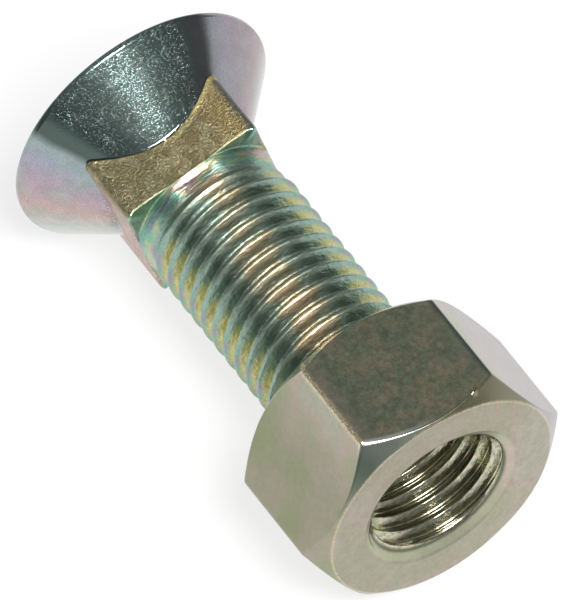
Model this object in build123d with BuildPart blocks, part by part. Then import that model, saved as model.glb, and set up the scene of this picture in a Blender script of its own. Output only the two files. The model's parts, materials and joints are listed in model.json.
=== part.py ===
from build123d import *
import math
import os

# Plow bolt with its hexagon nut, lying on a level surface. All sizes are in millimetres.
# +X runs from the head to the nut, +Z is up and the surface is Z = 0.
# Distances along the bolt are measured from the flat face of the head.

# Thread, which both pieces are sized for
thread_diameter = 20.0
thread_pitch = 2.5

# Bolt
bolt_length = 55.0
head_diameter = 36.0
head_cone_angle = 84.0
rim_height = 0.8
rim_chamfer = 0.25  # on the face's side
rim_rounding = 0.25  # on the cone's side
neck_width = 19.4
neck_corner_radius = 1.2
neck_end = 15.8
neck_end_rounding = 0.25
neck_turn = 12.8  # degrees, against the flats of the nut
junction_rounding = 0.4
collar_swell = 0.15  # beyond the thread, on the radius
collar_length = 2.6
collar_step = 0.3
end_chamfer = 1.7

# Nut
nut_width = 32.0
nut_height = 18.0
nut_corner_radius = 0.5
nut_chamfer_circle = 31.4
nut_chamfer_angle = 42.0
countersink_swell = 1.0  # beyond the thread, on the radius
countersink_angle = 60.0  # from the axis
bore_clearance = 0.05  # on the radius
engaged_turns = 2.08

# Sizes that follow from these
thread_radius = thread_diameter / 2
head_radius = head_diameter / 2
flat_radius = nut_width / 2
chamfer_radius = nut_chamfer_circle / 2
chamfer_slope = math.tan(math.radians(nut_chamfer_angle))
nut_start = bolt_length - engaged_turns * thread_pitch
nut_end = nut_start + nut_height

# The object rests on the rim of the head and on one flat of the nut, so its axis inclines
# towards the nut. It touches the surface with the rounded corner of the rim, whose centre
# is given here, and with the outer end of the flat.
corner_distance = rim_height - rim_rounding * math.tan(math.radians(head_cone_angle / 4))
corner_radius = head_radius - rim_rounding
flat_end = nut_end - (flat_radius - chamfer_radius) * chamfer_slope
contact_distance = flat_end - corner_distance
contact_drop = corner_radius - flat_radius
incline = math.atan2(contact_drop, contact_distance) + math.asin(
    rim_rounding / math.hypot(contact_drop, contact_distance)
)

# The middle of the head's flat face, with the whole object centred on X = 0
axis_height = flat_end * math.sin(incline) + flat_radius * math.cos(incline)
back_reach = (head_radius - rim_chamfer) * math.sin(incline)
front_reach = nut_end * math.cos(incline) + chamfer_radius * math.sin(incline)
head_centre = Vector((back_reach - front_reach) / 2, 0, axis_height)

# Planes across the axis and along it, the second with distances in x and radii in y
axis_direction = Vector(math.cos(incline), 0, -math.sin(incline))
bolt_axis = Axis(head_centre, axis_direction)
across = Plane(origin=head_centre, x_dir=(0, 1, 0), z_dir=axis_direction)
along = Plane(origin=head_centre, x_dir=axis_direction, z_dir=(0, -1, 0))

# Bolt: a square neck, then the head and the shank turned about the axis
collar_radius = thread_radius + collar_swell
relief_radius = thread_radius - collar_step
collar_end = neck_end + collar_length
cone_slope = math.tan(math.radians(head_cone_angle / 2))
cone_end = rim_height + (head_radius - relief_radius) / cone_slope
rim_gap = rim_height + rim_rounding  # keeps the rim's own edges out of the junction

with BuildPart() as bolt:
    with BuildSketch(across.offset(rim_height)):
        Rectangle(neck_width, neck_width, rotation=neck_turn)
        fillet(vertices(), neck_corner_radius)
    extrude(amount=neck_end - rim_height)
    fillet(bolt.faces().sort_by(bolt_axis)[-1].edges(), neck_end_rounding)
    with BuildSketch(along):
        with BuildLine():
            Polyline(
                (0, 0),
                (0, head_radius - rim_chamfer),
                (rim_chamfer, head_radius),
                (rim_height, head_radius),
                (cone_end, relief_radius),
                (neck_end, relief_radius),
                (neck_end, collar_radius),
                (collar_end, relief_radius),
                (collar_end + collar_step, thread_radius),
                (bolt_length - end_chamfer, thread_radius),
                (bolt_length, thread_radius - end_chamfer),
                (bolt_length, 0),
                close=True,
            )
        make_face()
    revolve(axis=bolt_axis)

    # Where the cone meets the neck, and where it meets the rim
    junction = bolt.edges().filter_by_position(bolt_axis, rim_gap, cone_end)
    fillet(junction.filter_by(GeomType.LINE, reverse=True), junction_rounding)
    rim_circles = bolt.edges().filter_by(GeomType.CIRCLE).sort_by(bolt_axis)[:3]
    fillet(rim_circles[-1], rim_rounding)

# Nut: a hexagon, cut by a double cone to chamfer both ends
cone_rise = nut_height / 2 / chamfer_slope

with BuildPart() as nut:
    with BuildSketch(across.offset(nut_start)):
        RegularPolygon(flat_radius, 6, major_radius=False)
        fillet(vertices(), nut_corner_radius)
    extrude(amount=nut_height)
    with BuildSketch(along):
        with BuildLine():
            Polyline(
                (nut_start, 0),
                (nut_start, chamfer_radius),
                (nut_start + nut_height / 2, chamfer_radius + cone_rise),
                (nut_end, chamfer_radius),
                (nut_end, 0),
                close=True,
            )
        make_face()
    revolve(axis=bolt_axis, mode=Mode.INTERSECT)

    # Bore, countersunk at both ends
    bore_radius = thread_radius + bore_clearance
    mouth_radius = thread_radius + countersink_swell
    mouth_depth = (mouth_radius - bore_radius) / math.tan(math.radians(countersink_angle))
    with BuildSketch(along):
        with BuildLine():
            Polyline(
                (nut_start, 0),
                (nut_start, mouth_radius),
                (nut_start + mouth_depth, bore_radius),
                (nut_end - mouth_depth, bore_radius),
                (nut_end, mouth_radius),
                (nut_end, 0),
                close=True,
            )
        make_face()
    revolve(axis=bolt_axis, mode=Mode.SUBTRACT)

os.makedirs("parts", exist_ok=True)
bolt.part.label = "bolt"
export_step(bolt.part, "parts/bolt.step")
nut.part.label = "nut"
export_step(nut.part, "parts/nut.step")
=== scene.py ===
"""Looks of a plow bolt and its hexagon nut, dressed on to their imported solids.

The bolt lies on the rim of its head and on one flat of the nut. Sizes are in millimetres until a
mesh is made. Places along the bolt are measured from the flat face of the head, places around it
from the top, turning as a right-handed thread does on its way to the nut.
"""

import json
import logging
import math
from dataclasses import dataclass
from typing import Any, Sequence

import bpy
import numpy as np
from mathutils import Matrix, Vector


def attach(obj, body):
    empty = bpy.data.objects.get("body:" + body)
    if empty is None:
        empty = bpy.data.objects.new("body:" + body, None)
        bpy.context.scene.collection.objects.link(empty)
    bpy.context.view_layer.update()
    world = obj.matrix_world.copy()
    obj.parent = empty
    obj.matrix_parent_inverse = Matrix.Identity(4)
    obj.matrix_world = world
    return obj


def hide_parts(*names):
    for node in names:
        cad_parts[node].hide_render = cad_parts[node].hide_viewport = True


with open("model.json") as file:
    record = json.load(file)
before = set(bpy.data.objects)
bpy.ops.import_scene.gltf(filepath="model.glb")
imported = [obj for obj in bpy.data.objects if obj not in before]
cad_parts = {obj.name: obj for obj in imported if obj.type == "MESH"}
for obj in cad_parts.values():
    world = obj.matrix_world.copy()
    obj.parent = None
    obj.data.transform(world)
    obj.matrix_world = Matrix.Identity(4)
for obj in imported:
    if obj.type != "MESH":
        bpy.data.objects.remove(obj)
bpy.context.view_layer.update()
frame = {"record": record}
log = logging.getLogger("plow_bolt")

MILLIMETRES = 1000.0  # in a metre


# Surfaces

TINY = 1e-9  # length that counts as none
MERGE_DISTANCE = 2e-8  # between points that become one, in metres
ARC_ROWS = 6  # rows of points along a rounding
GUARD = 0.05  # distance of a straight run's outer rows from its ends, which keeps the run flat
GUARD_SHARE = 0.2  # the most that this may be of a short run


@dataclass(frozen=True)
class BoltAxis:
    """The bolt's axis in the frame.

    Args:
        start: Middle of the head's flat face, in millimetres.
        along: Unit direction towards the nut.
    """

    start: np.ndarray
    along: np.ndarray

    @classmethod
    def from_record(cls, record: dict) -> "BoltAxis":
        """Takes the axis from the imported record.

        Args:
            record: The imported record, whose joint and head face lie on the axis.

        Returns:
            The axis.
        """
        face = next(m for m in record["mounts"] if m["name"] == "head_face")
        along = np.array(record["behaviour"]["joints"][0]["axis"], float)
        return cls(np.array(face["pos_m"], float) * MILLIMETRES, along / np.linalg.norm(along))

    @property
    def side(self) -> np.ndarray:
        """Level direction across the axis, a quarter turn on from the top."""
        return np.array([0.0, -1.0, 0.0])

    @property
    def top(self) -> np.ndarray:
        """Direction across the axis that points up."""
        return np.cross(self.side, self.along)

    def place(self, along: np.ndarray, radius: np.ndarray, turn: np.ndarray) -> np.ndarray:
        """Places points given by distance, radius and angle.

        Formula: start + along * axis + radius * (cos(turn) * top + sin(turn) * side).

        Args:
            along: Distances from the head's face.
            radius: Distances from the axis.
            turn: Angles in radians from the top.

        Returns:
            The points, in millimetres, in an array with one more dimension.
        """
        out = np.cos(turn)[..., None] * self.top + np.sin(turn)[..., None] * self.side
        return self.start + along[..., None] * self.along + radius[..., None] * out


@dataclass(frozen=True)
class Polygon:
    """A regular polygon across the bolt, with rounded corners.

    Args:
        sides: Number of sides.
        first: Angle of the middle of the first side, in radians.
        half_width: Distance of the sides from the axis.
        rounding: Radius of the corners.
    """

    sides: int
    first: float
    half_width: float
    rounding: float

    @property
    def half(self) -> float:
        """Half of the angle that a side takes."""
        return math.pi / self.sides

    def turns(self, flat_steps: int, corner_steps: int, reach: float) -> np.ndarray:
        """Angles around the axis, closer together at the corners.

        Formula: even steps over a side, then finer even ones over a corner, once for each side.

        Args:
            flat_steps: Steps across a side.
            corner_steps: Steps round a corner.
            reach: Half of the angle that the closer steps take at a corner, in radians.

        Returns:
            The angles of one turn, rising, without the last one that closes it.
        """
        flat = np.linspace(-(self.half - reach), self.half - reach, flat_steps, endpoint=False)
        bend = np.linspace(self.half - reach, self.half + reach, corner_steps, endpoint=False)
        one_side = np.concatenate([flat, bend])
        middles = self.first + 2 * self.half * np.arange(self.sides)
        return (middles[:, None] + one_side[None, :]).ravel()

    def from_corner(self, turn: np.ndarray) -> np.ndarray:
        """Angle between each given angle and the nearest corner, in radians."""
        return np.abs((turn - self.first) % (2 * self.half) - self.half)

    def radius(self, turn: np.ndarray) -> np.ndarray:
        """Radius at each angle.

        Formula: half_width / cos(a) on a side, where a is the angle from its middle. In a corner,
        the far crossing of the ray with the corner's circle.

        Args:
            turn: Angles in radians.

        Returns:
            The radii.
        """
        angle = np.abs((turn - self.first + self.half) % (2 * self.half) - self.half)
        straight = self.half_width - self.rounding
        centre = straight / math.cos(self.half)
        tangent = math.atan2(straight * math.tan(self.half), self.half_width)
        off = angle - self.half
        across = np.maximum(self.rounding**2 - (centre * np.sin(off)) ** 2, 0)
        corner = centre * np.cos(off) + np.sqrt(across)
        return np.where(angle < tangent, self.half_width / np.cos(angle), corner)


def unit(vectors: np.ndarray) -> np.ndarray:
    """Gives vectors along the second-last dimension a length of one, and leaves short ones short."""
    return vectors / np.maximum(np.linalg.norm(vectors, axis=-2, keepdims=True), TINY)


def smooth_rise(share: np.ndarray) -> np.ndarray:
    """Eases a share between 0 and 1, held there outside, by 3 times its square less 2 times its cube."""
    held = np.clip(share, 0, 1)
    return held * held * (3 - 2 * held)


def rounded_profile(
    corners: Sequence[tuple], roundings: Sequence[Any], columns: int, fills: Sequence[int]
) -> tuple[np.ndarray, np.ndarray]:
    """Rows of points along a bent line whose inner corners are rounded by arcs.

    Formula: an arc leaves its corner's first line at rounding * tan(bend / 2) before the corner,
    and follows start + r * sin(b) * line + r * (1 - cos(b)) * inward for b from 0 to the bend.

    Args:
        corners: Places of the corners as (distance, radius), each a number or one per column.
        roundings: Radius of the arc at each inner corner, a number or one per column.
        columns: Number of columns.
        fills: Number of extra rows on each straight run.

    Returns:
        Distances and radii, each in rows by columns.
    """
    points = [np.stack([np.broadcast_to(np.asarray(v, float), columns) for v in c]) for c in corners]
    rows = [points[0]]
    steps = np.linspace(0, 1, ARC_ROWS)
    for index, fill in enumerate(fills):
        start, corner = rows[-1], points[index + 1]
        line = unit(corner - start)
        if index + 2 < len(points):
            after = unit(points[index + 2] - corner)
            cosine = np.clip((line * after).sum(0), -1, 1)
            bend = np.arccos(cosine)
            inward = unit(after - line * cosine)
            radius = np.broadcast_to(np.asarray(roundings[index], float), columns)
            arc_start = corner - line * radius * np.tan(bend / 2)
            angles = steps[:, None] * bend
            ahead = (radius * np.sin(angles))[:, None] * line[None]
            aside = (radius * (1 - np.cos(angles)))[:, None] * inward[None]
            arc = arc_start[None] + ahead + aside
        else:
            arc_start, arc = corner, corner[None]
        length = np.linalg.norm(arc_start - start, axis=0)
        near = np.minimum(GUARD / np.maximum(length, TINY), GUARD_SHARE)
        shares = [near + (1 - 2 * near) * share for share in np.linspace(0, 1, fill + 2)]
        rows.extend(start + (arc_start - start) * share for share in shares)
        rows.extend(arc)
    stacked = np.stack(rows)
    return stacked[:, 0], stacked[:, 1]


def ring_quads(rows: int, columns: int) -> np.ndarray:
    """Quads of a grid of rings, each closed on itself.

    Formula: a quad joins a point, the next one of its ring, and the same two of the next ring.

    Args:
        rows: Number of rings.
        columns: Number of points in a ring.

    Returns:
        The corners of the quads.
    """
    row = np.arange(rows - 1)[:, None] * columns
    column = np.arange(columns)[None, :]
    after = (column + 1) % columns
    quads = np.stack([row + column, row + after, row + columns + after, row + columns + column], -1)
    return quads.reshape(-1, 4)


def helix_quads(rows: int, columns: int, shift: int) -> np.ndarray:
    """Quads of a grid whose rows are helices.

    Formula: as on rings, but the last column joins the first one of the row that is one pitch on.

    Args:
        rows: Number of rows.
        columns: Number of points in one turn of a row.
        shift: Number of rows in one pitch.

    Returns:
        The corners of the quads.
    """
    row = np.arange(rows - 1)[:, None]
    column = np.arange(columns)[None, :]
    after_row = row + np.where(column == columns - 1, shift, 0)
    after = (column + 1) % columns
    corners = [
        row * columns + column,
        after_row * columns + after,
        (after_row + 1) * columns + after,
        (row + 1) * columns + column,
    ]
    quads = np.stack(corners, -1).reshape(-1, 4)
    return quads[quads.max(1) < rows * columns]


def weld(points: np.ndarray, quads: np.ndarray) -> tuple[np.ndarray, list]:
    """Merges points that coincide, and drops the faces that this leaves with no area.

    Formula: points are one where they round to the same multiples of the merge distance.

    Args:
        points: Points in metres.
        quads: Corners of the quads.

    Returns:
        The points that are left, and the faces as lists.
    """
    keys = np.round(points / MERGE_DISTANCE).astype(np.int64)
    _, first, place = np.unique(keys, axis=0, return_index=True, return_inverse=True)
    quads = place.ravel()[quads]
    repeated = quads == np.roll(quads, -1, axis=1)
    count = repeated.sum(1)
    triangles = quads[count == 1][~repeated[count == 1]].reshape(-1, 3)
    return points[first], quads[count == 0].tolist() + triangles.tolist()


def mesh_object(name: str, points: np.ndarray, quads: np.ndarray) -> bpy.types.Object:
    """Makes a smooth-shaded object at the origin from points in millimetres.

    Args:
        name: Name of the object.
        points: Points in millimetres, in the frame.
        quads: Corners of the quads.

    Returns:
        The object, linked to the scene.
    """
    vertices, faces = weld(points / MILLIMETRES, quads)
    mesh = bpy.data.meshes.new(name)
    mesh.from_pydata(vertices, [], faces)
    mesh.update()
    mesh.shade_smooth()
    piece = bpy.data.objects.new(name, mesh)
    bpy.context.scene.collection.objects.link(piece)
    return piece


def turned_object(
    name: str, axis: BoltAxis, turns: np.ndarray, grids: Sequence[tuple[np.ndarray, np.ndarray, np.ndarray]]
) -> bpy.types.Object:
    """Makes one object from grids that run round the bolt and meet edge to edge.

    Formula: each grid's quads count on from the points of the grids before it.

    Args:
        name: Name of the object.
        axis: The bolt's axis.
        turns: Angles of the columns.
        grids: Distances and radii of each grid, in rows by columns, and its quads.

    Returns:
        The object.
    """
    points, quads, count = [], [], 0
    for along, radius, corners in grids:
        points.append(axis.place(along, radius, np.broadcast_to(turns, along.shape)).reshape(-1, 3))
        quads.append(corners + count)
        count += along.size
    return mesh_object(name, np.concatenate(points), np.concatenate(quads))


# The screw thread


@dataclass(frozen=True)
class ScrewThread:
    """The metric thread that both pieces carry.

    Args:
        diameter: Across the crests of the bolt.
        pitch: Distance between two crests.
        crest_place: Distance along the bolt of one crest at the top of the bolt.
        play: Gap between the two threads, on the radius.
        root_depth: Depth of the bolt's roots below its crests, in pitches.
        nut_depth: Depth of the nut's crests below the bolt's, in pitches.
        flank_bend: Bend from a crest to a flank, in degrees.
        crest_rounding: Radius of the edges of the bolt's crests.
        root_rounding: Radius of the bolt's roots, in pitches.
        nut_rounding: Radius of the edges of the nut's crests.
        flank_stop: How far before its root's corner a flank of the nut ends.
        root_start: How far past that corner the root starts.
        root_rise: How much deeper each of the root's two points lies than the one before.
        bolt_points: Number of points along a rounding of the bolt's profile.
        nut_points: Number of points along a rounding of the nut's.
    """

    diameter: float = 20.0
    pitch: float = 2.5
    crest_place: float = 34.08
    play: float = 0.07
    root_depth: float = 0.61343
    nut_depth: float = 0.42
    flank_bend: float = 60.0
    crest_rounding: float = 0.24
    root_rounding: float = 0.14434
    nut_rounding: float = 0.1
    flank_stop: float = 0.05
    root_start: float = 0.03
    root_rise: float = 0.02
    bolt_points: int = 5
    nut_points: int = 4

    @property
    def crest(self) -> float:
        """Radius of the bolt's crests."""
        return self.diameter / 2

    @property
    def root(self) -> float:
        """Radius of the bolt's roots."""
        return self.crest - self.root_depth * self.pitch

    @property
    def minor(self) -> float:
        """Radius of the nut's crests."""
        return self.crest - self.nut_depth * self.pitch

    def _crest_rows(self, flat: float, rounding: float, count: int) -> np.ndarray:
        """Points round the edge of a crest, as two rows: distances from its middle, and depths.

        Formula: an arc that starts rounding * tan(bend / 2) before the end of the flat.

        Args:
            flat: Half of the crest's width.
            rounding: Radius of the edge.
            count: Number of points.

        Returns:
            The points.
        """
        bends = np.linspace(0, math.radians(self.flank_bend), count)
        start = flat - rounding * math.tan(math.radians(self.flank_bend / 2))
        return np.stack([start + rounding * np.sin(bends), rounding * (1 - np.cos(bends))])

    @staticmethod
    def _joined(crest: np.ndarray, root: np.ndarray) -> tuple[np.ndarray, np.ndarray]:
        """Half a pitch from the middle of a crest on, with one point halfway down the flank.

        Args:
            crest: Points round the edge of the crest.
            root: Points of the root.

        Returns:
            Distances from the middle of the crest, and depths.
        """
        middle = (crest[:, -1:] + root[:, :1]) / 2
        rows = np.concatenate([np.zeros((2, 1)), crest, middle, root], axis=1)
        return rows[0], rows[1]

    def male_profile(self) -> tuple[np.ndarray, np.ndarray]:
        """Depth below the crest over half a pitch, from the middle of a crest to that of a root.

        Formula: the crest is flat over an eighth of the pitch with softened edges, the flanks
        stand at 30 degrees to the radius, and the root is an arc.

        Returns:
            Distances from the middle of the crest, and depths, both in millimetres.
        """
        crest = self._crest_rows(self.pitch / 16, self.crest_rounding, self.bolt_points)
        bends = np.linspace(math.radians(self.flank_bend), 0, self.bolt_points)
        radius = self.root_rounding * self.pitch
        root_x = self.pitch / 2 - radius * np.sin(bends)
        root_y = self.crest - self.root - radius * (1 - np.cos(bends))
        return self._joined(crest, np.stack([root_x, root_y]))

    def female_profile(self) -> tuple[np.ndarray, np.ndarray]:
        """Height above the nut's crest over half a pitch, from the middle of a crest to that of a root.

        Formula: the crest is flat over a quarter of the pitch with softened edges, and the root
        over an eighth, where it rises a little towards its middle.

        Returns:
            Distances from the middle of the crest, and heights, both in millimetres.
        """
        crest = self._crest_rows(self.pitch / 8, self.nut_rounding, self.nut_points)
        height = self.crest - self.minor
        corner = self.pitch * 7 / 16
        missing = self.flank_stop / math.tan(math.radians(self.flank_bend / 2))
        root_x = [corner - self.flank_stop, corner + self.root_start, self.pitch / 2]
        root_y = [height - missing, height + self.root_rise, height + 2 * self.root_rise]
        return self._joined(crest, np.array([root_x, root_y]))

    def helix_grid(
        self, turns: np.ndarray, begin: float, end: float, half_steps: np.ndarray, centre: float
    ) -> tuple[np.ndarray, np.ndarray, int]:
        """Places of rows that follow the thread between two rings.

        Formula: distance = centre + pitch * (row's share of a pitch + turn / full turn), held
        between begin and end.

        Args:
            turns: Angles of the columns.
            begin: Distance of the first ring.
            end: Distance of the last ring.
            half_steps: Distances of rows over half a pitch, from 0 to half a pitch.
            centre: Distance of the profile's middle at the top of the bolt.

        Returns:
            Distances in rows by columns, distances from the nearest middle of the profile, and
            the number of rows in one pitch.
        """
        one_pitch = np.concatenate([half_steps, self.pitch - half_steps[-2:0:-1]])
        first = math.floor((begin - centre) / self.pitch - turns.max() / math.tau) - 1
        last = math.ceil((end - centre) / self.pitch - turns.min() / math.tau) + 1
        starts = centre + self.pitch * np.arange(first, last)
        rows = (starts[:, None] + one_pitch[None, :]).ravel()
        lead = self.pitch * turns / math.tau
        along = np.clip(rows[:, None] + lead[None, :], begin, end)
        phase = (along - lead[None, :] - centre) % self.pitch
        return along, np.minimum(phase, self.pitch - phase), len(one_pitch)


# Shader nodes

RINGED_RADIUS = 2.5  # at which ringed noise is read, below the bolt's own, to draw it out
RELIEF_HEIGHT = 0.00006  # of a relief of 1, in metres


class Number:
    """A socket that carries a number. Python's operators on it add Math nodes."""

    def __init__(self, tree: "ShaderTree", socket: bpy.types.NodeSocket) -> None:
        """Wraps a socket.

        Args:
            tree: The tree that the socket belongs to.
            socket: The output socket.
        """
        self.tree = tree
        self.socket = socket

    def __add__(self, other: Any) -> "Number":
        """Sum."""
        return self.tree.calculate("ADD", self, other)

    def __radd__(self, other: Any) -> "Number":
        """Sum with a plain number first."""
        return self.tree.calculate("ADD", other, self)

    def __sub__(self, other: Any) -> "Number":
        """Difference."""
        return self.tree.calculate("SUBTRACT", self, other)

    def __rsub__(self, other: Any) -> "Number":
        """Difference with a plain number first."""
        return self.tree.calculate("SUBTRACT", other, self)

    def __mul__(self, other: Any) -> "Number":
        """Product."""
        return self.tree.calculate("MULTIPLY", self, other)

    def __rmul__(self, other: Any) -> "Number":
        """Product with a plain number first."""
        return self.tree.calculate("MULTIPLY", other, self)

    def __truediv__(self, other: Any) -> "Number":
        """Quotient."""
        return self.tree.calculate("DIVIDE", self, other)

    def __pow__(self, other: Any) -> "Number":
        """Power."""
        return self.tree.calculate("POWER", self, other)

    def step(self, low: float, high: float) -> "Number":
        """Rises smoothly from 0 at low to 1 at high, or falls where low is the larger.

        Formula: 3 times s squared less 2 times s cubed, where s is the share of the way.

        Args:
            low: Value at which the result is 0.
            high: Value at which the result is 1.

        Returns:
            The result.
        """
        if low > high:
            return 1 - self.step(high, low)
        settings = {"interpolation_type": "SMOOTHSTEP"}
        inputs = {"Value": self, "From Min": low, "From Max": high}
        return self.tree.number("ShaderNodeMapRange", "Result", settings, inputs)

    def bump(self, middle: float, width: float) -> "Number":
        """Is 1 at middle and fades smoothly to 0 at width on both sides."""
        return self.tree.calculate("ABSOLUTE", self - middle).step(width, 0)


class ShaderTree:
    """The node tree of a material or of the world."""

    def __init__(self, owner: bpy.types.ID) -> None:
        """Empties the owner's tree.

        Args:
            owner: A material or a world.
        """
        owner.use_nodes = True
        self.nodes = owner.node_tree.nodes
        self.links = owner.node_tree.links
        self.nodes.clear()

    def add(self, kind: str, settings: dict | None = None, inputs: dict | None = None) -> bpy.types.Node:
        """Adds a node, sets it up, then fills its sockets.

        Args:
            kind: Blender's name of the node type.
            settings: Values of its properties. "stops" holds a ramp's (place, colour) pairs.
            inputs: Values or links of its sockets, by name or number.

        Returns:
            The node.
        """
        node = self.nodes.new(kind)
        for key, value in (settings or {}).items():
            if key == "stops":
                self._fill_ramp(node.color_ramp, value)
            else:
                setattr(node, key, value)
        for key, value in (inputs or {}).items():
            socket = node.inputs[key]
            if isinstance(value, Number):
                self.links.new(value.socket, socket)
            elif isinstance(value, bpy.types.NodeSocket):
                self.links.new(value, socket)
            else:
                socket.default_value = value
        return node

    @staticmethod
    def _fill_ramp(ramp: bpy.types.ColorRamp, stops: Sequence[tuple]) -> None:
        """Gives a ramp its stops.

        Args:
            ramp: The ramp.
            stops: Pairs of place and colour, in rising order.
        """
        while len(ramp.elements) < len(stops):
            ramp.elements.new(1.0)
        for element, (place, colour) in zip(ramp.elements, stops):
            element.position = place
            element.color = (*colour, 1.0)

    def number(self, kind: str, output: Any, settings: dict, inputs: dict) -> Number:
        """Adds a node and wraps one of its outputs, which carries a number."""
        return Number(self, self.add(kind, settings, inputs).outputs[output])

    def calculate(self, operation: str, *values: Any) -> Number:
        """Result of a Math node, whose inputs are Numbers or plain numbers."""
        return self.number("ShaderNodeMath", 0, {"operation": operation}, dict(enumerate(values)))

    def vector(self, operation: str, *values: Any) -> bpy.types.Node:
        """Adds a Vector Math node."""
        return self.add("ShaderNodeVectorMath", {"operation": operation}, dict(enumerate(values)))

    def noise(
        self, where: bpy.types.NodeSocket, size: float, detail: float = 3.0, rough: float = 0.5
    ) -> Number:
        """Noise whose lumps are about the given size, in millimetres, with a middle of 0.5."""
        inputs = {"Vector": where, "Scale": 1 / size, "Detail": detail, "Roughness": rough}
        return self.number("ShaderNodeTexNoise", 0, {}, inputs)

    def ramp(self, place: Number, stops: Sequence[tuple]) -> bpy.types.NodeSocket:
        """Colour at a place of a ramp, which is given by its (place, colour) pairs."""
        return self.add("ShaderNodeValToRGB", {"stops": stops}, {"Fac": place}).outputs[0]

    def mix(self, share: Any, first: Any, second: Any) -> bpy.types.NodeSocket:
        """Mixes two colours, each a socket or three numbers.

        Args:
            share: Share of the second colour, held between 0 and 1.
            first: The first colour.
            second: The second colour.

        Returns:
            The mixed colour.
        """
        colours = [(*c, 1.0) if isinstance(c, tuple) else c for c in (first, second)]
        settings = {"data_type": "RGBA", "clamp_factor": True}
        node = self.add("ShaderNodeMix", settings, {0: share, 6: colours[0], 7: colours[1]})
        return node.outputs[2]

    def coated(self, base: Any, *coats: tuple) -> bpy.types.NodeSocket:
        """Lays coats of colour on a base, one over the other.

        Args:
            base: The base colour.
            *coats: Strength, mask and colour of each coat. Strength times mask is its share.

        Returns:
            The colour.
        """
        for strength, mask, colour in coats:
            base = self.mix(strength * mask, base, colour)
        return base

    def plate(self, colour: bpy.types.NodeSocket, rough: Number, relief: Number, strength: float) -> None:
        """Finishes a material as metal.

        Args:
            colour: Its colour.
            rough: Its roughness.
            relief: Height of its surface, in units of the relief height.
            strength: Strength of the relief, from 0 to 1.
        """
        height = {"Strength": strength, "Distance": RELIEF_HEIGHT, "Height": relief}
        normal = self.add("ShaderNodeBump", {}, height).outputs[0]
        inputs = {"Base Color": colour, "Metallic": 1.0, "Roughness": rough, "Normal": normal}
        shader = self.add("ShaderNodeBsdfPrincipled", {}, inputs)
        self.add("ShaderNodeOutputMaterial", {}, {"Surface": shader.outputs[0]})


@dataclass(frozen=True)
class BoltPlace:
    """Where a point of a surface lies on the bolt, as shader values.

    Args:
        point: Object coordinates in millimetres.
        along: Distance from the head's face.
        radius: Distance from the axis.
        facing: Cosine of the angle around the axis from the front.
        quarter: Sine of that angle.
        turn: The angle itself, in radians.
        ringed: Distance, facing and quarter as a vector, for noise drawn out around the bolt.
    """

    point: bpy.types.NodeSocket
    along: Number
    radius: Number
    facing: Number
    quarter: Number
    turn: Number
    ringed: bpy.types.NodeSocket

    @classmethod
    def build(cls, tree: ShaderTree, axis: BoltAxis, front: float) -> "BoltPlace":
        """Adds the nodes.

        Formula: the offset from the axis's start, times each of three directions at right angles,
        gives the distance along the axis and the two parts across it.

        Args:
            tree: The tree to add to.
            axis: The bolt's axis.
            front: Angle around the axis that counts as the front, in degrees.

        Returns:
            The values.
        """
        coordinates = tree.add("ShaderNodeTexCoord").outputs["Object"]
        scaling = {0: coordinates, "Scale": MILLIMETRES}
        point = tree.add("ShaderNodeVectorMath", {"operation": "SCALE"}, scaling).outputs["Vector"]
        offset = tree.vector("SUBTRACT", point, tuple(axis.start)).outputs["Vector"]
        angle = math.radians(front)
        ahead = math.cos(angle) * axis.top + math.sin(angle) * axis.side
        beside = math.cos(angle) * axis.side - math.sin(angle) * axis.top
        along, forward, sideways = (
            Number(tree, tree.vector("DOT_PRODUCT", offset, tuple(direction)).outputs["Value"])
            for direction in (axis.along, ahead, beside)
        )
        radius = (forward * forward + sideways * sideways) ** 0.5
        clear = tree.calculate("MAXIMUM", radius, 0.01)  # off the axis, where no angle is defined
        facing, quarter = forward / clear, sideways / clear
        drawn = {0: along, 1: facing * RINGED_RADIUS, 2: quarter * RINGED_RADIUS}
        ringed = tree.add("ShaderNodeCombineXYZ", {}, drawn).outputs[0]
        turn = tree.calculate("ARCTAN2", quarter, facing)
        return cls(point, along, radius, facing, quarter, turn, ringed)


# Finishes
# Colours are in linear light. The runs on crests, roots and cone go round the bolt, from 0 in
# front to 1 behind. Those on the collar and the nut are read by noise.

# The first stops paint a gold-cream highlight on the crests in front, where the lamp's reflection falls.
CREST_COLOURS = (
    (0.0, (0.92, 0.70, 0.47)),
    (0.012, (0.68, 0.57, 0.38)),
    (0.03, (0.38, 0.46, 0.37)),
    (0.20, (0.34, 0.50, 0.45)),
    (0.30, (0.28, 0.44, 0.37)),
    (0.36, (0.38, 0.35, 0.44)),
    (0.42, (0.26, 0.46, 0.39)),
    (0.50, (0.40, 0.48, 0.30)),
    (0.60, (0.30, 0.46, 0.36)),
    (0.72, (0.54, 0.44, 0.46)),
    (0.86, (0.44, 0.48, 0.32)),
    (1.0, (0.50, 0.46, 0.34)),
)
# The first stops darken the roots in front, between the crests' highlights: painted shade in the grooves.
ROOT_COLOURS = (
    (0.0, (0.27, 0.25, 0.17)),
    (0.012, (0.24, 0.27, 0.20)),
    (0.03, (0.28, 0.36, 0.30)),
    (0.15, (0.28, 0.38, 0.30)),
    (0.26, (0.60, 0.56, 0.23)),
    (0.52, (0.68, 0.63, 0.27)),
    (1.0, (0.50, 0.44, 0.24)),
)
# The first stop paints a highlight in front, and the next ones paint the cone's dark front as shade.
CONE_COLOURS = (
    (0.0, (0.38, 0.51, 0.49)),
    (0.03, (0.24, 0.34, 0.33)),
    (0.07, (0.15, 0.22, 0.21)),
    (0.13, (0.09, 0.12, 0.11)),
    (0.155, (0.34, 0.42, 0.43)),
    (0.21, (0.39, 0.40, 0.48)),
    (0.30, (0.47, 0.38, 0.45)),
    (0.46, (0.57, 0.42, 0.40)),
    (0.66, (0.48, 0.54, 0.50)),
    (0.80, (0.62, 0.50, 0.52)),
    (1.0, (0.56, 0.52, 0.42)),
)
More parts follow.
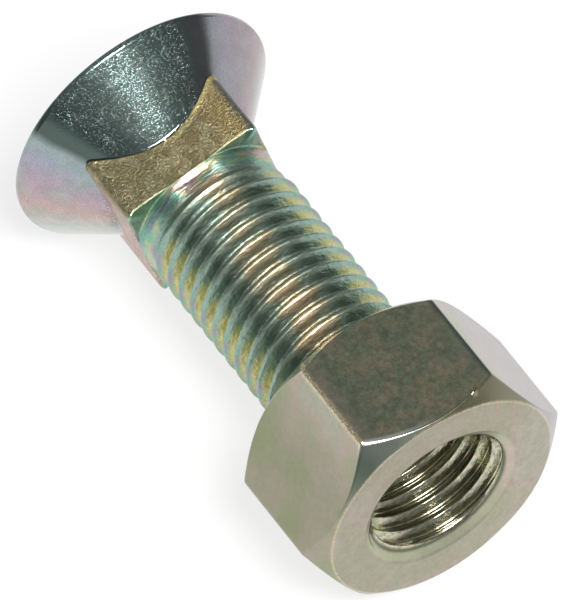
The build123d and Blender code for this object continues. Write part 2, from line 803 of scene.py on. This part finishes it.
COLLAR_COLOURS = (
    (0.34, (0.26, 0.24, 0.38)),
    (0.42, (0.22, 0.46, 0.38)),
    (0.52, (0.28, 0.60, 0.44)),
    (0.60, (0.62, 0.62, 0.30)),
    (0.66, (0.66, 0.44, 0.50)),
)
NUT_COLOURS = (
    (0.36, (0.45, 0.47, 0.33)),
    (0.46, (0.49, 0.47, 0.36)),
    (0.56, (0.56, 0.47, 0.41)),
    (0.68, (0.51, 0.50, 0.42)),
)


@dataclass(frozen=True)
class BoltPlating:
    """Bright yellow zinc on the bolt: a thin film whose colour runs from teal to gold and rose.

    Args:
        bolt: The bolt that is plated.
        front: Angle around the axis from which the colours run both ways, in degrees.
        roughness: Roughness of the shank.
        cone_roughness: Roughness of the cone.
        neck_roughness: Roughness of the neck.
    """

    bolt: "PlowBolt"
    front: float = 12.0
    roughness: float = 0.32
    cone_roughness: float = 0.14
    neck_roughness: float = 0.37

    def material(self) -> bpy.types.Material:
        """Builds the material.

        Formula: masks tell cone, neck and shank apart, and are 1 on their own form and 0 off it.

        Returns:
            The material.
        """
        material = bpy.data.materials.new("bolt_plating")
        tree = ShaderTree(material)
        place = BoltPlace.build(tree, self.bolt.axis, self.front)
        past_cone = self._past_cone(place)
        off_cone = past_cone.step(0.08, 0.3)
        shank = (place.along - self.bolt.neck_end).step(-0.3, 0.4)
        neck = off_cone - shank
        blotch = tree.noise(place.point, 1.8, 4.0, 0.6)
        grain = tree.noise(place.point, 0.3, 3.0, 0.7)
        rolled = tree.noise(place.ringed, 0.22, 3.0, 0.6)
        nicks = tree.noise(place.ringed, 0.6, 2.0, 0.6)
        pits = tree.noise(place.point, 0.3, 1.0).step(0.56, 0.66)
        lit_side = (1 - off_cone) * place.facing.step(0.82, 0.98)
        lit_side = lit_side * place.along.step(self.bolt.rim_height / 2, self.bolt.rim_height)
        rough = self.cone_roughness + (self.roughness - self.cone_roughness) * shank
        rough = rough + (self.neck_roughness - self.cone_roughness) * neck
        rough = rough + 0.08 * (blotch - 0.5) + 0.13 * shank * place.facing.step(0.85, 0.97)
        relief = grain * (0.1 + 2.4 * neck + 0.4 * lit_side) + pits * 3.0 * lit_side
        relief = relief + (rolled * 1.3 + nicks * 2.8) * shank
        tree.plate(self._film(tree, place, past_cone, blotch, grain), rough, relief, 1.0)
        return material

    def _past_cone(self, place: BoltPlace) -> Number:
        """Distance past the cone's surface along the bolt: 0 on the cone, and more on the neck."""
        slope = math.tan(math.radians(self.bolt.cone_angle / 2))
        return place.along - self.bolt.rim_height - (self.bolt.head_diameter / 2 - place.radius) / slope

    def _film(
        self, tree: ShaderTree, place: BoltPlace, past_cone: Number, blotch: Number, grain: Number
    ) -> bpy.types.NodeSocket:
        """Colour of the film over the whole bolt, with its flat ends and a dark mottling.

        Args:
            tree: The tree to add to.
            place: Where the point lies.
            past_cone: Distance past the cone along the bolt.
            blotch: Noise of coarse patches.
            grain: Noise of fine grain.

        Returns:
            The colour.
        """
        past_neck = place.along - self.bolt.neck_end
        drift = tree.noise(place.point, 8.0, 2.0) - 0.5
        around = 0.5 - 0.5 * place.facing + 0.14 * drift + 0.03 * (blotch - 0.5)
        cone = self._cone_colour(tree, place, 0.5 - 0.5 * place.facing + 0.04 * drift)
        neck = self._neck_colour(tree, place, around, blotch)
        # A gold line where cone and neck meet, on the side where the lamp's reflection falls: a painted
        # highlight.
        lower_seam = past_cone.bump(0.42, 0.35) * place.quarter.step(0.3, 0.0)
        upper_seam = past_cone.bump(0.7, 0.6) * place.quarter.step(0.05, -0.12)
        seam_highlight = tree.calculate("MAXIMUM", lower_seam, upper_seam)
        ends = place.along.step(0.12, 0.02) + (place.along - self.bolt.length).step(-0.12, -0.02)
        plain = tree.mix((drift + 0.5).step(0.35, 0.65), (0.50, 0.50, 0.38), (0.56, 0.48, 0.44))
        # Dark mottling all over, heavier over the last 6 to 8 millimetres of the neck.
        dark_mottle = (grain * 0.6 + blotch * 0.4).step(0.60, 0.42)
        neck_foot = past_neck.step(-7.8, -5.8) * past_neck.step(0.2, -0.1)
        return tree.coated(
            cone,
            (1.0, past_cone.step(0.08, 0.3), neck),
            (0.9, seam_highlight, (1.0, 0.84, 0.40)),
            (1.0, past_neck.step(-0.3, 0.2), self._shank_colour(tree, place, around)),
            (1.0, ends, plain),
            (0.22 + 0.4 * neck_foot, dark_mottle, (0.10, 0.12, 0.09)),
        )

    @staticmethod
    def _cone_colour(tree: ShaderTree, place: BoltPlace, around: Number) -> bpy.types.NodeSocket:
        """Colour of the cone: painted shade in front, pale scratches with a painted sheen, then rose and
        lilac.

        Args:
            tree: The tree to add to.
            place: Where the point lies.
            around: 0 in front of the bolt, 1 behind it.

        Returns:
            The colour.
        """
        drawn = tree.add("ShaderNodeCombineXYZ", {}, {0: place.turn * 9, 1: place.along * 0.25}).outputs[0]
        # Pale scratches drawn down the cone, painted only on the lit front, where they stand as a painted
        # sheen.
        scratch_sheen = tree.noise(drawn, 0.5, 3.0).step(0.54, 0.68) * around.step(0.10, 0.02)
        cloud = tree.noise(place.point, 5.0, 2.0).step(0.44, 0.62) * around.step(0.15, 0.20)
        # Darker on the right side of the cone: painted shade.
        right = place.quarter.step(-0.3, -0.8)
        return tree.coated(
            tree.ramp(around, CONE_COLOURS),
            (0.6, scratch_sheen, (0.66, 0.74, 0.74)),
            (0.35, cloud, (0.34, 0.50, 0.40)),
            (0.55, right, (0.30, 0.26, 0.30)),
        )

    @staticmethod
    def _neck_colour(
        tree: ShaderTree, place: BoltPlace, around: Number, blotch: Number
    ) -> bpy.types.NodeSocket:
        """Colour of the neck: blotched gold in front, rose behind, and a strip of painted shade at one
        corner.

        Args:
            tree: The tree to add to.
            place: Where the point lies.
            around: 0 in front of the bolt, 1 behind it.
            blotch: Noise of coarse patches.

        Returns:
            The colour.
        """
        patches = blotch.step(0.38, 0.58)
        left = place.quarter.step(0.0, 0.5)
        right = place.turn.step(math.radians(-22), math.radians(-38))
        back = around.step(0.13, 0.22)
        # A dark blue strip on the right flat, next to its corner: painted shade.
        corner = place.turn.bump(math.radians(-46), math.radians(8))
        return tree.coated(
            (0.90, 0.75, 0.42),
            (1.0, patches, (0.36, 0.29, 0.14)),
            (0.35, left, (0.36, 0.33, 0.20)),
            (0.5, right, (0.84, 0.60, 0.24)),
            (1.0, back, (0.66, 0.46, 0.40)),
            (0.9, corner, (0.12, 0.18, 0.22)),
        )

    def _shank_colour(self, tree: ShaderTree, place: BoltPlace, around: Number) -> bpy.types.NodeSocket:
        """Colour of the shank: teal crests, golden roots, a patched collar, and painted light in front.

        Args:
            tree: The tree to add to.
            place: Where the point lies.
            around: 0 in front of the bolt, 1 behind it.

        Returns:
            The colour.
        """
        depth = self.bolt.thread.crest - place.radius
        past_collar = place.along - self.bolt.neck_end - self.bolt.collar_length
        roots = depth.step(0.17, 0.85) * past_collar.step(0.2, 1.6)
        collar = past_collar.step(0.0, -0.8)
        return tree.coated(
            tree.ramp(around, CREST_COLOURS),
            (0.9, roots, tree.ramp(around, ROOT_COLOURS)),
            (0.75, collar, tree.ramp(tree.noise(place.ringed, 1.6, 2.0), COLLAR_COLOURS)),
        )


@dataclass(frozen=True)
class NutPlace:
    """Where a point lies on the nut, as shader values.

    Args:
        depth: Distance in from the far end.
        past_chamfer: Distance past the far chamfer along the bolt, which is below 0 on the flats.
        sides: 1 outside the circle at which the chamfers start.
        top: 1 on the flat on top.
        bevel: 1 on the far chamfer.
        face: 1 on the ring of the far end.
        ring: 1 on the edge of that ring.
        bore: 1 in the bore.
        lip: 1 on the bore's edge inside the countersink.
        left_corner: 1 on the edge between the top flat and the left one.
        right_corner: 1 on the edge between the top flat and the right one.
    """

    depth: Number
    past_chamfer: Number
    sides: Number
    top: Number
    bevel: Number
    face: Number
    ring: Number
    bore: Number
    lip: Number
    left_corner: Number
    right_corner: Number

    @classmethod
    def build(cls, place: BoltPlace, nut: "HexagonNut") -> "NutPlace":
        """Works out the values from the place on the bolt and the nut's sizes.

        Formula: the far chamfer is the cone on which the distance out from its circle, times the
        tangent of its angle, equals the distance in from the end.

        Args:
            place: Where the point lies on the bolt.
            nut: The nut.

        Returns:
            The values.
        """
        depth = nut.end - place.along
        outward = place.radius - nut.chamfer_circle / 2
        inward = nut.mouth - place.radius
        past_chamfer = outward * math.tan(math.radians(nut.chamfer_angle)) - depth
        sides = outward.step(-0.1, 0.2)
        bevel = past_chamfer.step(-0.3, -0.1) * sides
        edges = [
            place.turn.bump(math.radians(corner), math.radians(2.2)) * (1 - bevel) * sides
            for corner in (30, -30)
        ]
        return cls(
            depth=depth,
            past_chamfer=past_chamfer,
            sides=sides,
            top=sides * place.facing.step(0.80, 0.95),
            bevel=bevel,
            face=depth.step(0.3, 0.1) * outward.step(0.0, -0.1),
            ring=outward.bump(0.05, 0.25) * depth.step(0.5, 0.2),
            bore=inward.step(0.5, 0.7) * depth.step(0.6, 1.0),
            lip=inward.bump(1.5, 0.45) * depth.step(1.4, 1.1),
            left_corner=edges[0],
            right_corner=edges[1],
        )


@dataclass(frozen=True)
class NutPlating:
    """Yellow zinc on the nut: satin, mottled, paler and browner than the bolt's.

    Args:
        nut: The nut that is plated.
        roughness: Roughness of the flats.
        bore_polish: How much less rough the bore is.
    """

    nut: "HexagonNut"
    roughness: float = 0.32
    bore_polish: float = 0.14

    def material(self) -> bpy.types.Material:
        """Builds the material.

        Returns:
            The material.
        """
        material = bpy.data.materials.new("nut_plating")
        tree = ShaderTree(material)
        place = BoltPlace.build(tree, self.nut.axis, 0.0)
        zone = NutPlace.build(place, self.nut)
        wide = tree.noise(place.point, 6.0, 0.0)
        middling = tree.noise(place.point, 2.4, 3.0, 0.6)
        blotch = tree.noise(place.point, 0.8, 4.0, 0.7)
        grain = tree.noise(place.point, 0.28, 3.0, 0.75)
        rolled = tree.noise(place.ringed, 0.25, 3.0, 0.6)
        stains_and_shade = (0.4 * blotch + 0.3 * grain + 0.3 * middling).step(0.66, 0.34)
        metal = tree.mix(rolled.step(0.35, 0.65), (0.36, 0.40, 0.32), (0.66, 0.60, 0.43))
        colour = tree.coated(
            self._side_colour(tree, place, zone, wide, middling),
            # Stains lie heavier on the top flat, as painted shade, and somewhat heavier on the end face.
            (0.22 + 0.48 * zone.top + 0.14 * zone.face, stains_and_shade, (0.17, 0.15, 0.07)),
        )
        colour = self._edge_colour(tree, place, zone, colour, blotch, grain)
        colour = tree.coated(colour, (1.0, zone.bore, metal), (0.9, zone.lip, (0.10, 0.11, 0.07)))
        rough = self.roughness + 0.10 * (blotch - 0.5) - self.bore_polish * zone.bore
        nick = place.turn.bump(math.radians(-21), math.radians(1.8)) * zone.depth.bump(1.3, 0.5)
        relief = (grain + blotch) * (1 - zone.bore) * 0.25 + rolled * 1.2 * zone.bore
        relief = relief + grain * zone.left_corner * 2.5 + 5.0 * nick * zone.sides
        tree.plate(colour, rough, relief, 0.6)
        return material

    @staticmethod
    def _side_colour(
        tree: ShaderTree, place: BoltPlace, zone: NutPlace, wide: Number, middling: Number
    ) -> bpy.types.NodeSocket:
        """Colour of each side: painted shade in green and brown on top and olive left, lilac right, tan in
        front.

        Args:
            tree: The tree to add to.
            place: Where the point lies on the bolt.
            zone: Where it lies on the nut.
            wide: Noise of wide clouds.
            middling: Noise of middling patches.

        Returns:
            The colour.
        """
        patched = tree.mix(middling.step(0.40, 0.60), (0.44, 0.57, 0.42), (0.58, 0.55, 0.39))
        clouds = (0.6 * wide + 0.4 * middling).step(0.32, 0.68)
        clouded = tree.mix(clouds, (0.30, 0.33, 0.20), (0.36, 0.335, 0.26))
        left = zone.sides * place.quarter.step(0.5, 0.9)
        right = zone.sides * place.quarter.step(-0.5, -0.8)
        face_top = zone.face * place.facing.step(0.1, 1.0)
        return tree.coated(
            tree.ramp(wide, NUT_COLOURS),
            # The top flat gets its own greener colour, a shaded copy of the plating: painted shade.
            (0.85, zone.top, patched),
            # The left flat is painted a darker olive: painted shade.
            (0.8, left, clouded),
            (0.75, right, (0.50, 0.46, 0.50)),
            (0.45 - 0.18 * place.quarter.step(0.1, -0.8), zone.face, (0.36, 0.31, 0.28)),
            # Darker towards the top of the end face: painted shade.
            (0.35, face_top, (0.30, 0.30, 0.20)),
        )

    @staticmethod
    def _edge_colour(
        tree: ShaderTree,
        place: BoltPlace,
        zone: NutPlace,
        colour: bpy.types.NodeSocket,
        blotch: Number,
        grain: Number,
    ) -> bpy.types.NodeSocket:
        """Colour of the chamfer and edges: painted shade on the chamfer, painted highlight and wear on
        edges.

        Formula: the cosine of the angle from a corner is facing * cos(corner) + quarter *
        sin(corner), with a minus for the right corner.

        Args:
            tree: The tree to add to.
            place: Where the point lies on the bolt.
            zone: Where it lies on the nut.
            colour: Colour of the sides.
            blotch: Noise of coarse patches.
            grain: Noise of fine grain.

        Returns:
            The colour.
        """
        ahead = place.facing * math.cos(math.radians(30))
        beside = place.quarter * math.sin(math.radians(30))
        # The chamfer is darkened near both corners in front: painted shade.
        dark_left = zone.bevel * (ahead + beside).step(0.80, 0.99)
        dark_right = zone.bevel * (ahead - beside).step(0.78, 0.96)
        # A white band along the edge of the top flat and the far chamfer, on its left half: a painted
        # highlight.
        front_edge_highlight = zone.past_chamfer.bump(-0.35, 0.45) * zone.sides
        front_edge_highlight = front_edge_highlight * place.facing.step(0.80, 0.90) * place.quarter.step(-0.1, 0.3)
        # Gold wear on the left corner's edge and the end's ring, bright enough to stand also as a painted
        # highlight there.
        wear_and_highlight = (1.4 * zone.left_corner + 0.5 * zone.ring) * grain.step(0.36, 0.56)
        return tree.coated(
            colour,
            (0.72 + 0.3 * blotch, dark_left, (0.13, 0.18, 0.14)),
            (0.85, dark_right, (0.22, 0.21, 0.14)),
            (0.8, front_edge_highlight, (1.0, 0.98, 0.92)),
            # A dark line along the edge between the top flat and the right one: painted shade.
            (0.8, zone.right_corner, (0.10, 0.14, 0.17)),
            (0.6, wear_and_highlight, (1.0, 0.82, 0.52)),
        )


# Pieces


@dataclass(frozen=True)
class PlowBolt:
    """The bolt: a flat head with a conical seat, a square neck, a collar and a threaded shank.

    Args:
        axis: The bolt's axis.
        thread: The thread.
        length: Length of the whole bolt.
        head_diameter: Diameter of the head.
        cone_angle: Angle between opposite sides of the cone, in degrees.
        rim_height: Height of the rim, where the cone starts.
        rim_rounding: Radius of the rim's two edges.
        neck_width: Width of the neck across its flats.
        neck_corner: Radius of its corners.
        neck_end: Distance of its end.
        neck_turn: Turn of the neck against the nut, in degrees.
        junction_rounding: Radius between cone and neck.
        collar_swell: How far the collar stands out beyond the thread, on the radius.
        collar_length: Length of the collar.
        collar_step: Depth to which the collar falls before the thread starts.
        step_height: Least height of the step between neck and collar.
        step_rounding: Largest radius in that step.
        step_share: Largest share of the step's height that such a radius takes.
        dip: Depth of the dip below the neck's flats, beyond the dip all round.
        round_dip: Depth of the dip all round.
        dip_length: Distance of the dip's bottom from the neck.
        burr: Length of the burr at each corner of the neck.
        burr_flare: How far the burr leans outwards, as a share of its length.
        burr_reach: Angle over which a burr fades, in degrees.
        crest_rise: Pitches over which the crests reach their height.
        root_fall: Pitches over which the roots reach their depth.
        end_chamfer: Chamfer of the bolt's end.
        flat_steps: Steps across each flat of the neck.
        corner_steps: Steps round each corner.
        corner_reach: Half of the angle that a corner's steps take, in degrees.
        fills: Extra rows on each straight run from the face to the thread.
    """

    axis: BoltAxis
    thread: ScrewThread
    length: float = 55.0
    head_diameter: float = 36.0
    cone_angle: float = 84.0
    rim_height: float = 0.8
    rim_rounding: float = 0.4
    neck_width: float = 19.4
    neck_corner: float = 1.2
    neck_end: float = 15.8
    neck_turn: float = 12.8
    junction_rounding: float = 0.5
    collar_swell: float = 0.15
    collar_length: float = 2.6
    collar_step: float = 0.55
    step_height: float = 0.02
    step_rounding: float = 0.3
    step_share: float = 0.45
    dip: float = 0.26
    round_dip: float = 0.12
    dip_length: float = 0.8
    burr: float = 0.35
    burr_flare: float = 0.4
    burr_reach: float = 2.5
    crest_rise: float = 0.5
    root_fall: float = 1.2
    end_chamfer: float = 1.7
    flat_steps: int = 34
    corner_steps: int = 10
    corner_reach: float = 4.5
    fills: tuple = (6, 1, 12, 8, 2, 2, 4)

    @property
    def neck(self) -> Polygon:
        """Outline of the neck."""
        return Polygon(4, math.radians(self.neck_turn), self.neck_width / 2, self.neck_corner)

    def body_rows(self, turns: np.ndarray) -> tuple[np.ndarray, np.ndarray]:
        """Rows from the middle of the head's face to the end of the collar.

        Formula: the cone runs down to the neck's own outline at each angle, so its lower edge
        follows the four curves in which the neck's flats cut it. A burr falls off with the angle
        from its corner as exp(-(angle / reach) squared).

        Args:
            turns: Angles of the columns.

        Returns:
            Distances and radii, in rows by columns.
        """
        head = self.head_diameter / 2
        neck = self.neck.radius(turns)
        junction = self.rim_height + (head - neck) / math.tan(math.radians(self.cone_angle / 2))
        collar = self.thread.crest + self.collar_swell
        burr = self.burr * np.exp(-((self.neck.from_corner(turns) / math.radians(self.burr_reach)) ** 2))
        foot = np.minimum(collar, neck - self.step_height)
        flat = np.clip((collar - neck) / (collar - self.neck_width / 2), 0, 1)
        step = np.minimum(self.step_rounding, self.step_share * (neck - foot))
        corners = [
            (0.0, 0.0),
            (0.0, head),
            (self.rim_height, head),
            (junction, neck),
            (self.neck_end + burr, neck + self.burr_flare * burr),
            (self.neck_end, foot),
            (self.neck_end + self.dip_length, foot - self.round_dip - self.dip * flat),
            (self.neck_end + self.collar_length, self.thread.crest - self.collar_step),
        ]
        rim = self.rim_rounding
        roundings = [rim, rim, self.junction_rounding, step, step, self.step_rounding]
        return rounded_profile(corners, roundings, len(turns), self.fills)

    def shank_rows(self, turns: np.ndarray) -> tuple[np.ndarray, np.ndarray, int]:
        """Rows of the thread, which rises out of the collar's end and is cut by the end's chamfer.

        Formula: radius = crest + (root - crest) * the profile's share of its depth. Crest and root
        both start at the collar's end, and ease to their own radii over their own distances.

        Args:
            turns: Angles of the columns.

        Returns:
            Distances and radii in rows by columns, and the number of rows in one pitch.
        """
        thread = self.thread
        begin = self.neck_end + self.collar_length
        low = thread.crest - self.collar_step
        half, depth = thread.male_profile()
        along, middle, shift = thread.helix_grid(turns, begin, self.length, half, thread.crest_place)
        pitches = (along - begin) / thread.pitch
        crest = low + (thread.crest - low) * smooth_rise(pitches / self.crest_rise)
        root = low + (thread.root - low) * smooth_rise(pitches / self.root_fall)
        share = np.interp(middle, half, depth) / (thread.crest - thread.root)
        radius = crest + (root - crest) * share
        chamfer = thread.crest - self.end_chamfer + (self.length - along)
        return along, np.minimum(radius, chamfer), shift

    def build(self) -> bpy.types.Object:
        """Makes the bolt as one closed surface.

        Returns:
            The bolt's object.
        """
        turns = self.neck.turns(self.flat_steps, self.corner_steps, math.radians(self.corner_reach))
        columns = len(turns)
        along, radius = self.body_rows(turns)
        screw_along, screw_radius, shift = self.shank_rows(turns)
        end_along = np.full((2, columns), self.length)
        tip = self.thread.crest - self.end_chamfer
        end_radius = np.stack([np.full(columns, tip), np.zeros(columns)])
        grids = [
            (along, radius, ring_quads(len(along), columns)),
            (screw_along, screw_radius, helix_quads(len(screw_along), columns, shift)),
            (end_along, end_radius, ring_quads(len(end_along), columns)),
        ]
        return turned_object("threaded_bolt", self.axis, turns, grids)

    def dress(self, piece: bpy.types.Object) -> None:
        """Plates the bolt and sets it in place of its solid.

        Args:
            piece: The bolt's object.
        """
        piece.data.materials.append(BoltPlating(self).material())
        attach(piece, "bolt")
        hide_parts("bolt")


@dataclass(frozen=True)
class HexagonNut:
    """The nut: a hexagon chamfered at both ends, with a threaded and countersunk bore.

    Args:
        axis: The bolt's axis.
        thread: The thread.
        start: Distance of the nut's near end.
        height: Height of the nut.
        width: Width across its flats.
        corner: Radius of its corners.
        chamfer_circle: Diameter at which the chamfers start.
        chamfer_angle: Angle of the chamfers against the ends, in degrees.
        softening: Largest radius of the chamfers' edges.
        softened_share: Largest share of the chamfer's height that such a radius takes.
        mouth_swell: How far the countersinks stand out beyond the thread, on the radius.
        mouth_angle: Angle of the countersinks from the axis, in degrees.
        mouth_rounding: Radius of their outer edge.
        edge: Depth in the countersinks at which shell and bore meet.
        flat_steps: Steps across each flat.
        corner_steps: Steps round each corner.
        corner_reach: Half of the angle that a corner's steps take, in degrees.
        fills: Extra rows on each straight run over the outside.
    """

    axis: BoltAxis
    thread: ScrewThread
    start: float = 49.8
    height: float = 18.0
    width: float = 32.0
    corner: float = 0.5
    chamfer_circle: float = 31.4
    chamfer_angle: float = 42.0
    softening: float = 0.9
    softened_share: float = 0.42
    mouth_swell: float = 1.0
    mouth_angle: float = 60.0
    mouth_rounding: float = 0.12
    edge: float = 0.2
    flat_steps: int = 22
    corner_steps: int = 6
    corner_reach: float = 1.6
    fills: tuple = (0, 4, 2, 10, 2, 4, 0)

    @property
    def outline(self) -> Polygon:
        """Outline of the hexagon."""
        return Polygon(6, 0.0, self.width / 2, self.corner)

    @property
    def end(self) -> float:
        """Distance of the nut's far end."""
        return self.start + self.height

    @property
    def mouth(self) -> float:
        """Radius of the countersinks at the ends."""
        return self.thread.crest + self.mouth_swell

    @property
    def mouth_slope(self) -> float:
        """Fall of the countersinks' radius over a distance of one."""
        return math.tan(math.radians(self.mouth_angle))

    @property
    def inner_mouth(self) -> float:
        """Radius of the countersinks where shell and bore meet."""
        return self.mouth - self.edge * self.mouth_slope

    def shell_rows(self, turns: np.ndarray) -> tuple[np.ndarray, np.ndarray]:
        """Rows over the outside, from just inside one mouth of the bore to just inside the other.

        Formula: a chamfer is (outline - circle) * tan(angle) high at each angle, so its cone meets
        the hexagon in the arcs that such a nut shows on its flats.

        Args:
            turns: Angles of the columns.

        Returns:
            Distances and radii, in rows by columns.
        """
        outline = self.outline.radius(turns)
        circle = self.chamfer_circle / 2
        drop = (outline - circle) * math.tan(math.radians(self.chamfer_angle))
        soft = np.minimum(self.softening, self.softened_share * drop)
        corners = [
            (self.start + self.edge, self.inner_mouth),
            (self.start, self.mouth),
            (self.start, circle),
            (self.start + drop, outline),
            (self.end - drop, outline),
            (self.end, circle),
            (self.end, self.mouth),
            (self.end - self.edge, self.inner_mouth),
        ]
        roundings = [self.mouth_rounding, soft, soft, soft, soft, self.mouth_rounding]
        return rounded_profile(corners, roundings, len(turns), self.fills)

    def bore_rows(self, turns: np.ndarray) -> tuple[np.ndarray, np.ndarray, int]:
        """Rows of the inner thread, which the countersinks cut at both ends.

        Formula: the larger of the thread's radius and that of the nearer countersink.

        Args:
            turns: Angles of the columns.

        Returns:
            Distances and radii in rows by columns, and the number of rows in one pitch.
        """
        thread = self.thread
        begin = self.start + self.edge
        end = self.end - self.edge
        half, height = thread.female_profile()
        centre = thread.crest_place + thread.pitch / 2
        along, middle, shift = thread.helix_grid(turns, begin, end, half, centre)
        radius = thread.minor + thread.play + np.interp(middle, half, height)
        sink = self.inner_mouth - np.minimum(along - begin, end - along) * self.mouth_slope
        return along, np.maximum(radius, sink), shift

    def build(self) -> bpy.types.Object:
        """Makes the nut as one closed surface.

        Returns:
            The nut's object.
        """
        turns = self.outline.turns(self.flat_steps, self.corner_steps, math.radians(self.corner_reach))
        columns = len(turns)
        along, radius = self.shell_rows(turns)
        screw_along, screw_radius, shift = self.bore_rows(turns)
        inside = helix_quads(len(screw_along), columns, shift)[:, ::-1]  # facing the axis
        grids = [
            (along, radius, ring_quads(len(along), columns)),
            (screw_along, screw_radius, inside),
        ]
        return turned_object("threaded_nut", self.axis, turns, grids)

    def dress(self, piece: bpy.types.Object) -> None:
        """Plates the nut and sets it in place of its solid.

        Args:
            piece: The nut's object.
        """
        piece.data.materials.append(NutPlating(self).material())
        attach(piece, "nut")
        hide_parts("nut")


# Studio


@dataclass(frozen=True)
class SoftLamp:
    """A square soft lamp that points at the bolt.

    Args:
        name: Name of the lamp.
        heading: Direction to the lamp, in degrees from +X towards +Y.
        height: Angle above the floor, in degrees.
        distance: Distance from the bolt, in metres.
        size: Width in metres.
        power: Power in watts.
        target: Height above the floor of the point that it faces, in metres.
    """

    name: str
    heading: float
    height: float
    distance: float
    size: float
    power: float
    target: float = 0.017

    def build(self) -> bpy.types.Object:
        """Makes the lamp.

        Returns:
            The lamp's object.
        """
        lamp = bpy.data.lights.new(self.name, "AREA")
        lamp.shape = "SQUARE"
        lamp.size = self.size
        lamp.energy = self.power
        holder = bpy.data.objects.new(self.name, lamp)
        bpy.context.scene.collection.objects.link(holder)
        level, rise = math.radians(self.heading), math.radians(self.height)
        away = Vector((math.cos(level) * math.cos(rise), math.sin(level) * math.cos(rise), math.sin(rise)))
        holder.location = away * self.distance + Vector((0, 0, self.target))
        holder.rotation_euler = away.to_track_quat("Z", "Y").to_euler()
        return holder


@dataclass(frozen=True)
class Studio:
    """Pale floor, one soft lamp, a light horizon under a dim ceiling, and the camera.

    Args:
        heading: Direction that the camera looks in, in degrees from +Y towards -X.
        height: Angle of the camera above the floor, in degrees.
        roll: Turn of the camera about its own axis, in degrees.
        aim: Point in the middle of the picture, in metres.
        distance: Distance of the camera from it, in metres.
        lens: Focal length in millimetres.
        sensor: Width of the sensor in millimetres.
        sight: Farthest distance that the camera sees, in metres.
        floor_reach: Distance of the floor's edges from the origin, in metres.
        floor_squares: Number of squares along each edge.
        floor_grey: Colour of the floor, the same in all three channels.
        floor_glow: Share of plain white in the floor that the camera and reflections see.
        sky: Greys of the world, each by the sine of its height above the horizon.
    """

    heading: float = 61.4983
    height: float = 53.3973
    roll: float = -5.3899
    aim: tuple = (-0.0012591, -0.0001081, 0.0172835)
    distance: float = 2.2325263
    lens: float = 1170.979
    sensor: float = 36.0
    sight: float = 50.0
    floor_reach: float = 3.0
    floor_squares: int = 12
    floor_grey: float = 0.88
    floor_glow: float = 0.8
    sky: tuple = ((0.0, 0.95), (0.03, 0.9), (0.10, 0.25), (1.0, 0.21))

    def floor(self) -> bpy.types.Object:
        """Makes the floor, a flat square that the bolt lies on.

        Formula: a level grid of points, with a quad for each square of the grid.

        Returns:
            The floor's object.
        """
        count = self.floor_squares + 1
        side = np.linspace(-self.floor_reach, self.floor_reach, count)
        x, y = np.meshgrid(side, side, indexing="ij")
        points = np.stack([x, y, np.zeros_like(x)], -1).reshape(-1, 3)
        squares = np.arange(self.floor_squares)
        first = squares[:, None] * count + squares[None, :]
        quads = np.stack([first, first + count, first + count + 1, first + 1], -1)
        floor = mesh_object("floor", points * MILLIMETRES, quads.reshape(-1, 4))
        floor.data.materials.append(self.floor_paint())
        return floor

    def floor_paint(self) -> bpy.types.Material:
        """Builds the floor's material, a pale paint that is seen nearly white.

        Returns:
            The material.
        """
        material = bpy.data.materials.new("pale_floor")
        tree = ShaderTree(material)
        grey = (self.floor_grey, self.floor_grey, self.floor_grey, 1.0)
        paint = {"Base Color": grey, "Roughness": 0.9, "Specular IOR Level": 0.1}
        shader = tree.add("ShaderNodeBsdfPrincipled", {}, paint)
        rays = tree.add("ShaderNodeLightPath").outputs
        camera, glossy, transmission = (
            Number(tree, rays[f"Is {kind} Ray"]) for kind in ("Camera", "Glossy", "Transmission")
        )
        glow = (camera + glossy + transmission) * self.floor_glow
        white = tree.add("ShaderNodeEmission", {}, {"Color": (1.0, 1.0, 1.0, 1.0), "Strength": 1.0})
        surface = tree.add("ShaderNodeMixShader", {}, {0: glow, 1: shader.outputs[0], 2: white.outputs[0]})
        tree.add("ShaderNodeOutputMaterial", {}, {"Surface": surface.outputs[0]})
        return material

    def world(self) -> None:
        """Lights the scene from a pale horizon and a dim ceiling."""
        world = bpy.data.worlds.new("studio")
        bpy.context.scene.world = world
        tree = ShaderTree(world)
        direction = tree.add("ShaderNodeTexCoord").outputs["Generated"]
        rise = tree.number("ShaderNodeSeparateXYZ", "Z", {}, {0: direction})
        sky = tree.ramp(rise, [(height, (grey, grey, grey)) for height, grey in self.sky])
        shade = tree.add("ShaderNodeBackground", {}, {"Color": sky, "Strength": 1.0})
        tree.add("ShaderNodeOutputWorld", {}, {"Surface": shade.outputs[0]})

    def camera(self) -> None:
        """Sets up the camera at the photograph's angle."""
        lens = bpy.data.cameras.new("camera")
        lens.sensor_width = self.sensor
        lens.sensor_fit = "HORIZONTAL"
        lens.lens = self.lens
        lens.clip_end = self.sight
        camera = bpy.data.objects.new("camera", lens)
        bpy.context.scene.collection.objects.link(camera)
        tilt = Matrix.Rotation(math.radians(90 - self.height), 4, "X")
        turn = Matrix.Rotation(math.radians(self.heading), 4, "Z")
        spin = Matrix.Rotation(math.radians(self.roll), 4, "Z")
        pose = turn @ tilt @ spin
        back = pose @ Vector((0, 0, self.distance))
        camera.matrix_world = Matrix.Translation(Vector(self.aim) + back) @ pose
        bpy.context.scene.camera = camera

    def build(self) -> None:
        """Makes the whole studio."""
        self.floor()
        self.world()
        SoftLamp("key_lamp", heading=-8.0, height=58.0, distance=1.2, size=0.36, power=20.0).build()
        self.camera()
        bpy.context.scene.view_settings.view_transform = "Standard"


def main() -> None:
    """Builds the bolt, the nut and the studio."""
    logging.basicConfig(level=logging.INFO, format="%(message)s")
    axis = BoltAxis.from_record(frame["record"])
    thread = ScrewThread()
    for maker in (PlowBolt(axis, thread), HexagonNut(axis, thread)):
        piece = maker.build()
        maker.dress(piece)
        log.info("%s: %d vertices, %d faces", piece.name, len(piece.data.vertices), len(piece.data.polygons))
    Studio().build()


if __name__ == "__main__":
    main()
